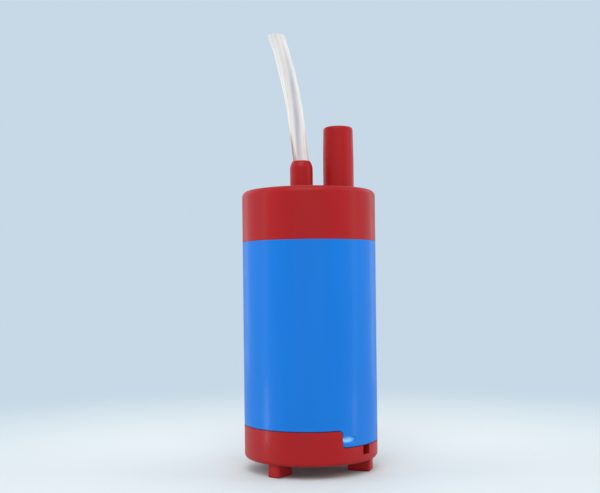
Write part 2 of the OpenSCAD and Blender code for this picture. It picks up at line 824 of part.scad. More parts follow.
// One vane, an arc from the hub back to the rim
module vane_outline() {
    start = [impeller_hub_r - bite, 0];
    finish = (impeller_r + over) * [cos(vane_sweep), -sin(vane_sweep)];
    chord = finish - start;
    half = norm(chord) / 2;
    normal = [chord.y, -chord.x] / norm(chord);
    centre = (start + finish) / 2 + sqrt(max(0, vane_curve * vane_curve - half * half)) * normal;
    intersection() {
        circle(impeller_r - vane_inset);
        difference() {
            translate(centre) circle(vane_curve + vane_t / 2);
            translate(centre) circle(vane_curve - vane_t / 2);
        }
        translate(start) rotate(atan2(chord.y, chord.x)) translate([0, -vane_t / 2])
            square([2 * half, far]);
    }
}

// Impeller: disc with swept-back vanes below it and a hub on the shaft
module impeller() {
    color("ivory") difference() {
        union() {
            translate([0, 0, z_disc]) cylinder(r = impeller_r, h = disc_t);
            translate([0, 0, z_vane]) cylinder(r = impeller_hub_r, h = z_disc + disc_t - z_vane);
            translate([0, 0, z_vane]) linear_extrude(z_disc - z_vane + bite)
                around(vane_count) vane_outline();
        }
        translate([0, 0, z_shaft - seat_gap]) cylinder(r = shaft_bore_r, h = far);
    }
}

module shaft() {
    color(steel) translate([0, 0, z_shaft]) cylinder(r = shaft_r, h = z_shaft_top - z_shaft);
}

// Drawn steel can with a round front edge and the front bearing's boss
module motor_can() {
    boss_r = boss_d / 2;
    z_boss = z_motor - boss_h;
    color(steel) difference() {
        rotate_extrude() {
            translate([0, z_motor]) square([motor_r - can_round, motor_len]);
            translate([0, z_motor + can_round]) square([motor_r, motor_len - can_round]);
            translate([motor_r - can_round, z_motor + can_round]) circle(can_round);
            translate([0, z_boss]) square([boss_r, boss_h + bite]);
        }
        translate([0, 0, z_can_floor]) cylinder(r = can_ir, h = motor_len);
        translate([0, 0, z_boss + boss_floor]) cylinder(r = bush_seat_r, h = boss_h + over);
        translate([0, 0, z_boss - over]) cylinder(r = shaft_r + shaft_clear, h = boss_floor + 2 * over);
    }
}

// Two arc magnets, one on each side of the brushes' axis
module magnets() {
    color("#4a4744") for (side = [90, 270]) rotate(side - magnet_arc / 2)
        rotate_extrude(angle = magnet_arc) translate([magnet_ir, z_magnet]) square([magnet_t, magnet_len]);
}

// Two spring plates that hold the magnets apart
module magnet_clips() {
    arc = 180 - magnet_arc - 2 * clip_gap;
    color(steel) for (side = [0, 180]) rotate(side - arc / 2)
        rotate_extrude(angle = arc) translate([magnet_r - clip_t, z_magnet + clip_inset])
            square([clip_t, magnet_len - 2 * clip_inset]);
}

module front_bearing() {
    z_bush = z_motor - boss_h + boss_floor + seat_gap;
    color(brass) tube(bush_r, shaft_bore_r, z_bush, z_can_floor - bush_inset);
}

module rear_bearing() {
    color(brass) tube(bush_r, shaft_bore_r, z_bush_rear, z_bush_rear + bush_rear_h);
}

// End bell: plug and flange on the can, the rear bearing's boss and a cradle for each brush holder
module end_bell() {
    cradle_from = holder_in + cradle_inset;
    cradle_to = holder_out + cradle_end;
    z_cradle = z_brush - holder_h / 2 - cradle_gap - cradle_wall;
    pocket_arc = 70;
    pocket_wall = 2;
    color("#2b2e33") difference() {
        union() {
            tube(can_ir - motor_gap, 0, z_plug, z_bell + bite);
            tube(motor_r - motor_gap, 0, z_bell + seat_gap, z_flange);
            tube(bell_boss_r, 0, z_flange - bite, z_bell_boss);
            around(2) translate([cradle_from, -cradle_w / 2, z_cradle])
                cube([cradle_to - cradle_from, cradle_w, z_plug + bite - z_cradle]);
        }
        tube(bush_seat_r, 0, z_plug - over, z_bell_roof);
        around(2) {
            translate([0, -holder_w / 2 - cradle_gap, z_brush - holder_h / 2 - cradle_gap])
                cube([holder_out + cradle_gap, holder_w + 2 * cradle_gap, holder_h + 2 * cradle_gap]);
            translate([tab_x - tab_t / 2 - tab_gap, -tab_w / 2 - tab_gap, z_brush])
                cube([tab_t + 2 * tab_gap, tab_w + 2 * tab_gap, far]);
        }
        around(2, 90) translate([0, 0, z_bell]) rotate(-pocket_arc / 2) rotate_extrude(angle = pocket_arc)
            translate([bell_boss_r + pocket_wall, 0])
                square([can_ir - bell_boss_r - 2 * pocket_wall, far]);
    }
}

// Two brass boxes that guide the brushes, closed at their outer ends
module brush_holders() {
    color(brass) around(2) difference() {
        translate([holder_in, -holder_w / 2, z_brush - holder_h / 2])
            cube([holder_out - holder_in, holder_w, holder_h]);
        translate([holder_in - over, -brush_w / 2 - brush_gap, z_brush - brush_h / 2 - brush_gap])
            cube([spring_end - holder_in + over, brush_w + 2 * brush_gap, brush_h + 2 * brush_gap]);
    }
}

// Carbon brush on the +X side, hollowed to the commutator
module brush() {
    color("#26262a") difference() {
        translate([0, -brush_w / 2, z_brush - brush_h / 2]) cube([brush_out, brush_w, brush_h]);
        cylinder(r = brush_in, h = far * 2);
    }
}

module brush_left() {
    rotate(180) brush();
}

module brush_right() {
    brush();
}

// Coil spring between a brush and the end of its holder, on the +X side
module brush_spring() {
    wire_r = spring_wire / 2;
    mean_r = (spring_d - spring_wire) / 2;
    start = brush_out + wire_r + seat_gap;
    span = spring_end - wire_r - seat_gap - start;
    rings_per_turn = 10;
    wire_sides = 6;
    steps = spring_turns * rings_per_turn;
    path = [for (i = [0:steps]) let (turn = 360 * i / rings_per_turn)
        [start + span * i / steps, mean_r * cos(turn), z_brush + mean_r * sin(turn)]];
    color(steel) swept_tube(path, wire_r, wire_sides);
}

module brush_spring_left() {
    rotate(180) brush_spring();
}

module brush_spring_right() {
    brush_spring();
}

// Two solder tabs that stand on the brush holders and come out through the end bell
module terminals() {
    z_foot = z_brush + holder_h / 2 + touch_gap;
    color(brass) around(2) translate([tab_x - tab_t / 2, -tab_w / 2, z_foot])
        cube([tab_t, tab_w, z_tab - z_foot]);
}

// Disc capacitor across the terminals, with its two wires
module suppressor_capacitor() {
    disc_r = 4.3;
    disc_w = 3;
    wire_r = 0.35;
    wire_up = 2;
    wire_x = 2.5;
    shift = 7;
    level = z_flange + 3.2;
    color("#b5722e") {
        translate([0, shift, level + disc_r]) rotate([90, 0, 0])
            cylinder(r = disc_r, h = disc_w, center = true);
        for (side = [0, 1]) mirror([side, 0, 0]) {
            translate([wire_x, shift, level]) cylinder(r = wire_r, h = wire_up);
            translate([wire_x, shift, level]) sphere(wire_r);
            translate([wire_x, shift, level]) rotate([0, 90, 0]) cylinder(r = wire_r, h = tab_x - wire_x);
            translate([tab_x, shift, level]) sphere(wire_r);
            translate([tab_x, tab_w / 2 + touch_gap, level]) rotate([-90, 0, 0])
                cylinder(r = wire_r, h = shift - tab_w / 2 - touch_gap);
        }
    }
}

// Motor lead from the end of the cable to the terminal on one side
module lead(side) {
    lead_r = lead_d / 2;
    core_gap = 0.1;
    rise = 3;
    steps = 16;
    sides = 8;
    top = [gland_x + side * (lead_r + core_gap), gland_y, z_cable_end - touch_gap];
    low = [side * tab_x, -tab_w / 2 - lead_r - press_gap, z_flange + rise];
    drop = [0, 0, z_cable_end - low.z];
    swept_tube(curve(top, top - 0.7 * drop, low + 0.9 * drop, low, steps), lead_r, sides, ends = [0, 0, -1]);
}

module lead_left() {
    color("#8c2f2a") lead(-1);
}

module lead_right() {
    color("#e8e6e0") lead(1);
}

// Outline of a lamination: hub, necks and pole shoes
module lamination() {
    difference() {
        union() {
            circle(hub_r);
            around(pole_count) translate([0, -neck_w / 2]) square([core_r - shoe_t / 2, neck_w]);
            difference() {
                circle(core_r);
                circle(core_r - shoe_t);
                around(pole_count, 180 / pole_count)
                    translate([0, -shoe_gap / 2]) square([core_r + over, shoe_gap]);
            }
        }
        circle(shaft_bore_r);
    }
}

module armature_core() {
    color("#8a8d91") translate([0, 0, z_core]) linear_extrude(core_len) lamination();
}

// Insulating stars on both ends of the stack, the front one with a spacer on the shaft
module armature_insulators() {
    z_washer_top = z_can_floor + seat_gap + washer_t;
    color("#d9d2b8") {
        for (level = [z_core - star_t, z_core + core_len]) translate([0, 0, level])
            linear_extrude(star_t) lamination();
        tube(spacer_r, shaft_bore_r, z_washer_top + seat_gap, z_core - star_t);
    }
}

// One coil round a pole's neck, kept inside its own share of the circle
module coil() {
    inner_w = neck_w + 2 * coil_gap;
    inner_h = core_len + 2 * (star_t + coil_gap);
    from = max(hub_r, spacer_r, comm_hub_r) + coil_gap;
    to = core_r - shoe_t - coil_gap;
    share_gap = 0.8;
    share = 180 / pole_count - share_gap;
    intersection() {
        translate([from, 0, z_core + core_len / 2]) rotate([90, 0, 90]) linear_extrude(to) difference() {
            rounded_rectangle(inner_w + 2 * coil_t, inner_h + 2 * coil_t, coil_t);
            square([inner_w, inner_h], center = true);
        }
        linear_extrude(far * 2) intersection() {
            circle(to);
            polygon([[0, 0], [far, -far * tan(share)], [far, far * tan(share)]]);
        }
    }
}

module windings() {
    color("#b4652c") around(pole_count) coil();
}

// Copper segments of the commutator, each with a hook for its coil's ends
module commutator() {
    slit = comm_slit / comm_r * 180 / PI;
    arc = 360 / pole_count - slit;
    hook = 14;
    color("#b87a4b") around(pole_count, slit / 2) {
        rotate_extrude(angle = arc) translate([comm_r - segment_t, z_comm]) square([segment_t, comm_len]);
        rotate((arc - hook) / 2) rotate_extrude(angle = hook)
            translate([comm_r - bite, z_comm]) square([tang_reach + bite, tang_h]);
    }
}

// Moulded hub under the segments, with a spacer towards the coils
module commutator_hub() {
    z_low = z_core + core_len + star_t + seat_gap;
    color("#5a3a26") tube(comm_hub_r, shaft_bore_r, z_low, z_comm_top + comm_hub_over);
}

// Washers that take the rotor's end play at both bearings
module thrust_washers() {
    z_front = z_can_floor + seat_gap;
    z_rear = z_comm_top + comm_hub_over + seat_gap;
    color("#e4dcc4") {
        tube(washer_r, shaft_bore_r, z_front, z_front + washer_t);
        tube(comm_hub_r, shaft_bore_r, z_rear, z_bush_rear - 2 * seat_gap);
    }
}

housing();
top_cap();
hose_tail();
cable_gland();
base();
cap_o_ring();
base_o_ring();
cable();
cable_inner();
cable_seal();
motor_sleeve();
motor_cover();
cover_o_ring();
shaft_seal();
impeller();
shaft();
motor_can();
magnets();
magnet_clips();
front_bearing();
rear_bearing();
end_bell();
brush_holders();
brush_left();
brush_right();
brush_spring_left();
brush_spring_right();
terminals();
suppressor_capacitor();
lead_left();
lead_right();
armature_core();
armature_insulators();
windings();
commutator();
commutator_hub();
thrust_washers();
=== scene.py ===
"""Looks of a slim submersible water pump.

Camera, cable, brush springs, wound coils, materials, floor and light. Every length is in
metres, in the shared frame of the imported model.
"""

import json
import math

import bmesh
import bpy
from mathutils import Matrix, Vector


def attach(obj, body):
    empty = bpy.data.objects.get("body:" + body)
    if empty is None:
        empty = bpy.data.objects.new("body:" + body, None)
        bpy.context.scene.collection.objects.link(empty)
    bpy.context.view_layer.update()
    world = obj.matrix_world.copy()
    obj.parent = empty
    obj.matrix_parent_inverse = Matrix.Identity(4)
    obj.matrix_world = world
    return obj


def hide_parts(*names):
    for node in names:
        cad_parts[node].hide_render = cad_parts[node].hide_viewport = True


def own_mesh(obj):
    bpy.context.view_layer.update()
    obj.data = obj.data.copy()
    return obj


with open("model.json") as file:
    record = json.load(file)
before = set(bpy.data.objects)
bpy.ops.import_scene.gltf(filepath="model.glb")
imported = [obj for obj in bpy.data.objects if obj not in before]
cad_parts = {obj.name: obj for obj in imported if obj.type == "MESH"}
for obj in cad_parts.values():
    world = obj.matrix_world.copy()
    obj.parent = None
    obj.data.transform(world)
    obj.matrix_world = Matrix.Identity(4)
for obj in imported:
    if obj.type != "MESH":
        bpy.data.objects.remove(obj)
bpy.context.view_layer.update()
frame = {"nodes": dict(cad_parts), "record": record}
scene = bpy.context.scene

MM = 0.001
UP = Vector((0, 0, 1))


# Camera

LENS = 54.446
SENSOR = 36.0
CAMERA_AT = (0.0, -0.30846, 0.061835)
CAMERA_ROLL = -0.011
SHIFT_X = -0.01574
SHIFT_Y = 0.0646
CLIP_NEAR = 0.01
CLIP_FAR = 50.0


def make_camera():
    """Level camera in front of the pump, with a slight roll."""
    data = bpy.data.cameras.new("camera")
    data.lens = LENS
    data.sensor_width = SENSOR
    data.shift_x = SHIFT_X
    data.shift_y = SHIFT_Y
    data.clip_start = CLIP_NEAR
    data.clip_end = CLIP_FAR
    camera = bpy.data.objects.new("camera", data)
    level = Matrix.Rotation(math.radians(90), 4, "X")
    roll = Matrix.Rotation(CAMERA_ROLL, 4, "Z")
    camera.matrix_world = Matrix.Translation(CAMERA_AT) @ level @ roll
    scene.collection.objects.link(camera)
    scene.camera = camera


# Meshes


def new_object(name, mesh_maker, materials, sharp_angle=40):
    """Object from a filled bmesh, shaded smooth except at edges sharper than the angle."""
    bm = bmesh.new()
    mesh_maker(bm)
    bmesh.ops.recalc_face_normals(bm, faces=bm.faces)
    for face in bm.faces:
        face.smooth = True
    for edge in bm.edges:
        if len(edge.link_faces) == 2 and edge.calc_face_angle(0) > math.radians(sharp_angle):
            edge.smooth = False
    mesh = bpy.data.meshes.new(name)
    bm.to_mesh(mesh)
    bm.free()
    for material in materials:
        mesh.materials.append(material)
    obj = bpy.data.objects.new(name, mesh)
    scene.collection.objects.link(obj)
    return obj


def smooth_line(points, steps):
    """Catmull-Rom curve through the points."""
    points = [Vector(p) for p in points]
    padded = [2 * points[0] - points[1], *points, 2 * points[-1] - points[-2]]
    line = []
    for a, b, c, d in zip(padded, padded[1:], padded[2:], padded[3:]):
        square = 2 * a - 5 * b + 4 * c - d
        cube = 3 * b - a - 3 * c + d
        for i in range(steps):
            t = i / steps
            line.append(0.5 * (2 * b + (c - a) * t + square * t**2 + cube * t**3))
    return [*line, points[-1]]


def tangents(line):
    """Unit direction of the line at each point."""
    last = len(line) - 1
    return [
        (line[min(i + 1, last)] - line[max(i - 1, 0)]).normalized() for i in range(last + 1)
    ]


def carried_frames(line):
    """Tangent and two cross directions at each point, carried along without twist."""
    frames = []
    along = tangents(line)
    side = along[0].orthogonal().normalized()
    for t in along:
        side = (side - side.dot(t) * t).normalized()
        frames.append((t, side, t.cross(side)))
    return frames


def add_tube(bm, line, radius, sides, level_run=0.0, twist=0.0, slot=0):
    """Closed tube round a line. Within level_run of an end its rings lean over to a level cut.

    Its points keep their place round and along the tube, in radii, as the attribute "lay".
    """
    layers = bm.verts.layers.float_vector
    lay = layers.get("lay") or layers.new("lay")
    reach = [0.0]
    for a, b in zip(line, line[1:]):
        reach.append(reach[-1] + (b - a).length)
    rings = []
    for (t, u, v), centre, at in zip(carried_frames(line), line, reach):
        plane = t
        if level_run:
            lean = max(0.0, 1 - min(at, reach[-1] - at) / level_run)
            plane = t.lerp(UP if t.z > 0 else -UP, lean).normalized()
        ring = []
        for k in range(sides):
            angle = math.tau * k / sides
            out = radius * (math.cos(angle) * u + math.sin(angle) * v)
            ring.append(bm.verts.new(centre + out - t * (out.dot(plane) / t.dot(plane))))
            laid = angle - twist * at / reach[-1]
            ring[-1][lay] = (math.cos(laid), math.sin(laid), at / radius)
        rings.append(ring)
    faces = []
    for low, high in zip(rings, rings[1:]):
        for k in range(sides):
            after = (k + 1) % sides
            faces.append(bm.faces.new((low[k], low[after], high[after], high[k])))
    faces.append(bm.faces.new(rings[0][::-1]))
    faces.append(bm.faces.new(rings[-1]))
    for face in faces:
        face.material_index = slot


# Shaders

# Sockets of a Mix node that blends colours.
MIX_SHARE, MIX_FIRST, MIX_SECOND = 0, 6, 7
MIX_COLOUR = 2
# Radians of a Wave node at scale 1 for each metre.
WAVE_RATE = 20
EDGE_SAMPLES = 6
# Cosines of the turned normal at an edge and on a flat face.
EDGE_TURNED, EDGE_FLAT = 0.7, 0.99
# Share of a spot's reach that is full.
SPOT_FULL = 0.45


class Shader:
    """Node tree of one material, with short calls for the nodes that it is made of."""

    def __init__(self, name, **constants):
        self.material = bpy.data.materials.new(name)
        self.material.use_nodes = True
        self.tree = self.material.node_tree
        self.surface = self.tree.nodes["Principled BSDF"]
        for key, value in constants.items():
            self.surface.inputs[key.replace("_", " ")].default_value = value
        self.place = self.add("TexCoord").outputs["Object"]

    def add(self, kind, **settings):
        node = self.tree.nodes.new("ShaderNode" + kind)
        for key, value in settings.items():
            setattr(node, key, value)
        return node

    def link(self, source, target):
        self.tree.links.new(source, target)

    def stretched(self, stretch):
        node = self.add("Mapping")
        node.inputs["Scale"].default_value = stretch
        self.link(self.place, node.inputs["Vector"])
        return node.outputs["Vector"]

    def noise(self, size, detail, stretch=(1, 1, 1)):
        """Cloudy values of about the given size in metres."""
        node = self.add("TexNoise")
        node.inputs["Scale"].default_value = 1 / size
        node.inputs["Detail"].default_value = detail
        self.link(self.stretched(stretch), node.inputs["Vector"])
        return node.outputs["Fac"]

    def cells(self, size, stretch=(1, 1, 1)):
        """Distance to the nearest of scattered points, in cells of the given size."""
        node = self.add("TexVoronoi")
        node.inputs["Scale"].default_value = 1 / size
        self.link(self.stretched(stretch), node.inputs["Vector"])
        return node.outputs["Distance"]

    def bands(self, pitch):
        """Waves with one crest per pitch along the axis of the pump."""
        node = self.add("TexWave", bands_direction="Z")
        node.inputs["Scale"].default_value = math.tau / WAVE_RATE / pitch
        self.link(self.place, node.inputs["Vector"])
        return node.outputs["Fac"]

    def spread(self, value, low, high, start=0.3, end=0.7):
        """Values from start to end, mapped to low to high."""
        node = self.add("MapRange")
        node.inputs["From Min"].default_value = start
        node.inputs["From Max"].default_value = end
        node.inputs["To Min"].default_value = low
        node.inputs["To Max"].default_value = high
        self.link(value, node.inputs["Value"])
        return node.outputs["Result"]

    def blend(self, share, first, second):
        """Colour from first to second by share; either may be a socket."""
        node = self.add("Mix", data_type="RGBA")
        self.link(share, node.inputs[MIX_SHARE])
        for socket, colour in ((MIX_FIRST, first), (MIX_SECOND, second)):
            if isinstance(colour, tuple):
                node.inputs[socket].default_value = (*colour, 1)
            else:
                self.link(colour, node.inputs[socket])
        return node.outputs[MIX_COLOUR]

    def clouds(self, value, deep, colour):
        """Colour that varies from deep to full with the value."""
        return self.blend(self.spread(value, 0, 1), deep, colour)

    def wear_and_highlight(self, tone, wear, most, colour):
        """Tone that turns to another colour by a mask, by the given share at most; used for
        wear and for painted highlights.
        """
        return self.blend(self.spread(wear, 0, most, start=0, end=1), tone, colour)

    def towards(self, turn, slope=0.0):
        """How far a point of a tube faces the given turn round it, changing along the tube."""
        node = self.add("VectorMath", operation="DOT_PRODUCT")
        node.inputs[1].default_value = (math.cos(turn), math.sin(turn), slope)
        self.link(self.place, node.inputs[0])
        return node.outputs["Value"]

    def height(self):
        """Height of a point over the floor."""
        node = self.add("SeparateXYZ")
        self.link(self.place, node.inputs[0])
        return node.outputs["Z"]

    def spot(self, at, size):
        """1 at a point, falling to 0 at the given distances from it."""
        node = self.add("Mapping", vector_type="TEXTURE")
        node.inputs["Location"].default_value = at
        node.inputs["Scale"].default_value = size
        self.link(self.place, node.inputs["Vector"])
        reach = self.add("VectorMath", operation="LENGTH")
        self.link(node.outputs["Vector"], reach.inputs[0])
        return self.spread(reach.outputs["Value"], 1, 0, start=SPOT_FULL, end=1)

    def edges(self, radius):
        """Rounded normal at the edges, and how near an edge a point is."""
        rounded = self.add("Bevel", samples=EDGE_SAMPLES)
        rounded.inputs["Radius"].default_value = radius
        flat = self.add("NewGeometry")
        turn = self.add("VectorMath", operation="DOT_PRODUCT")
        self.link(rounded.outputs["Normal"], turn.inputs[0])
        self.link(flat.outputs["Normal"], turn.inputs[1])
        near = self.spread(turn.outputs["Value"], 1, 0, start=EDGE_TURNED, end=EDGE_FLAT)
        return rounded.outputs["Normal"], near

    def relief(self, height, depth, normal=None):
        """Bump of the given depth in metres."""
        node = self.add("Bump")
        node.inputs["Strength"].default_value = 1
        node.inputs["Distance"].default_value = depth
        self.link(height, node.inputs["Height"])
        if normal:
            self.link(normal, node.inputs["Normal"])
        return node.outputs["Normal"]

    def finished(self, tone, rough, normal):
        """The material, with its colour, roughness and normal in place."""
        self.link(tone, self.surface.inputs["Base Color"])
        self.link(rough, self.surface.inputs["Roughness"])
        self.link(normal, self.surface.inputs["Normal"])
        return self.material


def paler(colour, factor, lift=0.0):
    """Lighter shade of a colour."""
    return tuple(min(1.0, c * factor + lift) for c in colour)


# Place, size and colour of a painted highlight: a pale spot in the scoop at the left end of the
# tongue.
SCOOP_AT = (11.4 * MM, -19.2 * MM, 12.5 * MM)
SCOOP_SIZE = (3.2 * MM, 3.2 * MM, 1.15 * MM)
SCOOP_HIGHLIGHT = (0.24, 0.60, 0.95)


def satin_plastic(name, colour, deep, wear_and_highlight, scoop=False):
    """Moulded plastic: faint flow marks, a fine mould grain, edges paler from slight wear and a
    painted highlight, a painted highlight in the scoop.
    """
    s = Shader(name, Specular_IOR_Level=0.14, Coat_Weight=0.09, Coat_Roughness=0.16)
    normal, edge = s.edges(0.25 * MM)
    flow = s.noise(9 * MM, detail=3, stretch=(1, 1, 0.25))
    # Paler edges: partly slight wear, partly a painted highlight along the rims.
    tone = s.wear_and_highlight(s.clouds(flow, deep, colour), edge, 0.35, wear_and_highlight)
    if scoop:
        # Painted highlight in the scoop of the tongue.
        tone = s.wear_and_highlight(tone, s.spot(SCOOP_AT, SCOOP_SIZE), 0.8, SCOOP_HIGHLIGHT)
    rough = s.spread(s.noise(7 * MM, detail=1), 0.40, 0.48, start=0.2, end=0.8)
    grain = s.noise(0.16 * MM, detail=2)
    return s.finished(tone, rough, s.relief(grain, 0.004 * MM, normal))


def matt_plastic(name, colour, deep, rough_low, rough_high, **constants):
    """Plain moulding with cloudy tone and a fine grain."""
    s = Shader(name, **constants)
    normal, edge = s.edges(0.12 * MM)
    tone = s.clouds(s.noise(2.5 * MM, detail=4), deep, colour)
    # Paler edges: partly slight wear, partly a painted highlight along the rims.
    tone = s.wear_and_highlight(tone, edge, 0.4, paler(colour, factor=1.3, lift=0.02))
    rough = s.spread(s.noise(1.2 * MM, detail=4), rough_low, rough_high)
    grain = s.noise(0.12 * MM, detail=2)
    return s.finished(tone, rough, s.relief(grain, 0.006 * MM, normal))


def filled_plastic(name, colour, deep, fleck):
    """Glass-filled plastic: streaks along the flow and pale flecks of fibre."""
    s = Shader(name, Specular_IOR_Level=0.4)
    normal, edge = s.edges(0.15 * MM)
    tone = s.clouds(s.noise(1.5 * MM, detail=5, stretch=(1, 1, 0.2)), deep, colour)
    fibres = s.spread(s.cells(0.35 * MM, stretch=(1, 1, 0.3)), 0.3, 0, start=0, end=0.16)
    # Paler edges in the fleck colour: partly wear, partly a painted highlight along the rims.
    tone = s.wear_and_highlight(s.blend(fibres, tone, fleck), edge, 0.3, fleck)
    rough = s.spread(s.noise(0.8 * MM, detail=4), 0.42, 0.62)
    grain = s.noise(0.1 * MM, detail=3)
    return s.finished(tone, rough, s.relief(grain, 0.008 * MM, normal))


def rubber(name):
    """Moulded rubber with a dusty bloom."""
    s = Shader(name, Specular_IOR_Level=0.3, Sheen_Weight=0.08, Sheen_Roughness=0.5)
    bloom = s.spread(s.noise(1.4 * MM, detail=5), 0, 1, start=0.4, end=0.75)
    tone = s.blend(bloom, (0.010, 0.010, 0.011), (0.026, 0.026, 0.028))
    rough = s.spread(s.noise(0.6 * MM, detail=4), 0.5, 0.72)
    return s.finished(tone, rough, s.relief(s.noise(0.15 * MM, detail=3), 0.01 * MM))


def drawn_metal(
    name, colour, tarnish, rough_low, rough_high, stretch=(1, 1, 0.06), size=0.25 * MM
):
    """Metal with fine marks of drawing or turning along one direction, and cloudy tarnish."""
    s = Shader(name, Metallic=1.0)
    normal, edge = s.edges(0.08 * MM)
    marks = s.noise(size, detail=4, stretch=stretch)
    cloud = s.spread(s.noise(2.2 * MM, detail=5), 0, 1, start=0.35, end=0.75)
    tone = s.wear_and_highlight(s.blend(cloud, colour, tarnish), edge, 0.5, paler(colour, factor=1.2))
    rough = s.spread(marks, rough_low, rough_high)
    return s.finished(tone, rough, s.relief(marks, 0.004 * MM, normal))


def porous_bronze(name):
    """Sintered bronze: dark pores and an oily, uneven shine."""
    s = Shader(name, Metallic=0.9)
    pits = s.cells(0.22 * MM)
    tone = s.clouds(s.noise(1.2 * MM, detail=4), (0.36, 0.20, 0.075), (0.46, 0.28, 0.11))
    tone = s.blend(s.spread(pits, 1, 0, start=0.05, end=0.3), tone, (0.10, 0.055, 0.02))
    rough = s.spread(s.noise(0.9 * MM, detail=4), 0.3, 0.55)
    return s.finished(tone, rough, s.relief(pits, 0.012 * MM))


def ferrite(name):
    """Sintered ferrite: dark grey and grainy, with a slight metallic glint."""
    s = Shader(name, Metallic=0.25)
    normal, edge = s.edges(0.15 * MM)
    cloud = s.noise(0.4 * MM, detail=5)
    tone = s.clouds(cloud, (0.035, 0.033, 0.033), (0.065, 0.062, 0.062))
    tone = s.wear_and_highlight(tone, edge, 0.5, (0.12, 0.115, 0.115))
    rough = s.spread(s.noise(0.5 * MM, detail=4), 0.45, 0.68)
    grain = s.noise(0.12 * MM, detail=4)
    return s.finished(tone, rough, s.relief(grain, 0.015 * MM, normal))


def carbon(name):
    """Pressed carbon with faint glints and a polished streak along the slide."""
    s = Shader(name, Metallic=0.35)
    streak = s.noise(0.18 * MM, detail=4, stretch=(0.06, 1, 1))
    tone = s.clouds(streak, (0.016, 0.016, 0.018), (0.045, 0.045, 0.05))
    glints = s.spread(s.cells(0.16 * MM), 0.6, 0, start=0, end=0.1)
    tone = s.blend(glints, tone, (0.22, 0.2, 0.18))
    return s.finished(tone, s.spread(streak, 0.3, 0.55), s.relief(streak, 0.006 * MM))


def dipped_ceramic(name):
    """Ceramic disc in a dipped, glossy coat that gathers unevenly."""
    s = Shader(name, Coat_Weight=0.5, Coat_Roughness=0.12)
    gather = s.noise(1.8 * MM, detail=3, stretch=(1, 1, 0.6))
    tone = s.clouds(gather, (0.36, 0.115, 0.02), (0.5, 0.18, 0.035))
    rough = s.spread(s.noise(0.7 * MM, detail=4), 0.3, 0.45)
    return s.finished(tone, rough, s.relief(gather, 0.12 * MM))


def stacked_sheet(name):
    """Stack of thin steel sheets, with a dark line between each two."""
    s = Shader(name, Metallic=0.9)
    sheet = s.bands(0.5 * MM)
    cloud = s.noise(1.5 * MM, detail=4)
    tone = s.clouds(cloud, (0.20, 0.205, 0.215), (0.29, 0.295, 0.305))
    tone = s.blend(s.spread(sheet, 1, 0, start=0.02, end=0.2), tone, (0.035, 0.035, 0.04))
    rough = s.spread(s.noise(0.6 * MM, detail=4), 0.32, 0.5)
    return s.finished(tone, rough, s.relief(sheet, 0.03 * MM))


def enamelled_copper(name):
    """Copper wire under a thin amber enamel."""
    amber = (1.0, 0.82, 0.62, 1)
    s = Shader(name, Metallic=1.0, Coat_Weight=0.6, Coat_Roughness=0.15, Coat_Tint=amber)
    tone = s.clouds(s.noise(1.6 * MM, detail=4), (0.50, 0.17, 0.05), (0.68, 0.27, 0.09))
    rough = s.spread(s.noise(0.4 * MM, detail=3), 0.2, 0.34)
    return s.finished(tone, rough, s.relief(s.noise(0.2 * MM, detail=2), 0.004 * MM))


def turned_copper(name):
    """Turned copper with fine grooves round it and a dark polished track under the brushes."""
    s = Shader(name, Metallic=1.0)
    grooves = s.noise(0.09 * MM, detail=3, stretch=(0.05, 0.05, 1))
    low, high = Z_BRUSH - TRACK_HALF, Z_BRUSH + TRACK_HALF
    off = s.add("Math", operation="ABSOLUTE")
    s.link(s.spread(s.height(), -1, 1, start=low, end=high), off.inputs[0])
    track = s.spread(off.outputs[0], 0.75, 0, start=0.6, end=0.95)
    tone = s.clouds(grooves, (0.52, 0.22, 0.10), (0.66, 0.31, 0.16))
    tone = s.blend(track, tone, (0.16, 0.075, 0.045))
    return s.finished(tone, s.spread(grooves, 0.2, 0.38), s.relief(grooves, 0.006 * MM))


def phenolic(name):
    """Brown phenolic moulding with short fibres."""
    s = Shader(name, Specular_IOR_Level=0.45)
    fibre = s.noise(0.3 * MM, detail=5, stretch=(1, 1, 0.25))
    tone = s.clouds(fibre, (0.055, 0.024, 0.011), (0.13, 0.06, 0.028))
    rough = s.spread(s.noise(0.5 * MM, detail=4), 0.35, 0.5)
    return s.finished(tone, rough, s.relief(fibre, 0.008 * MM))


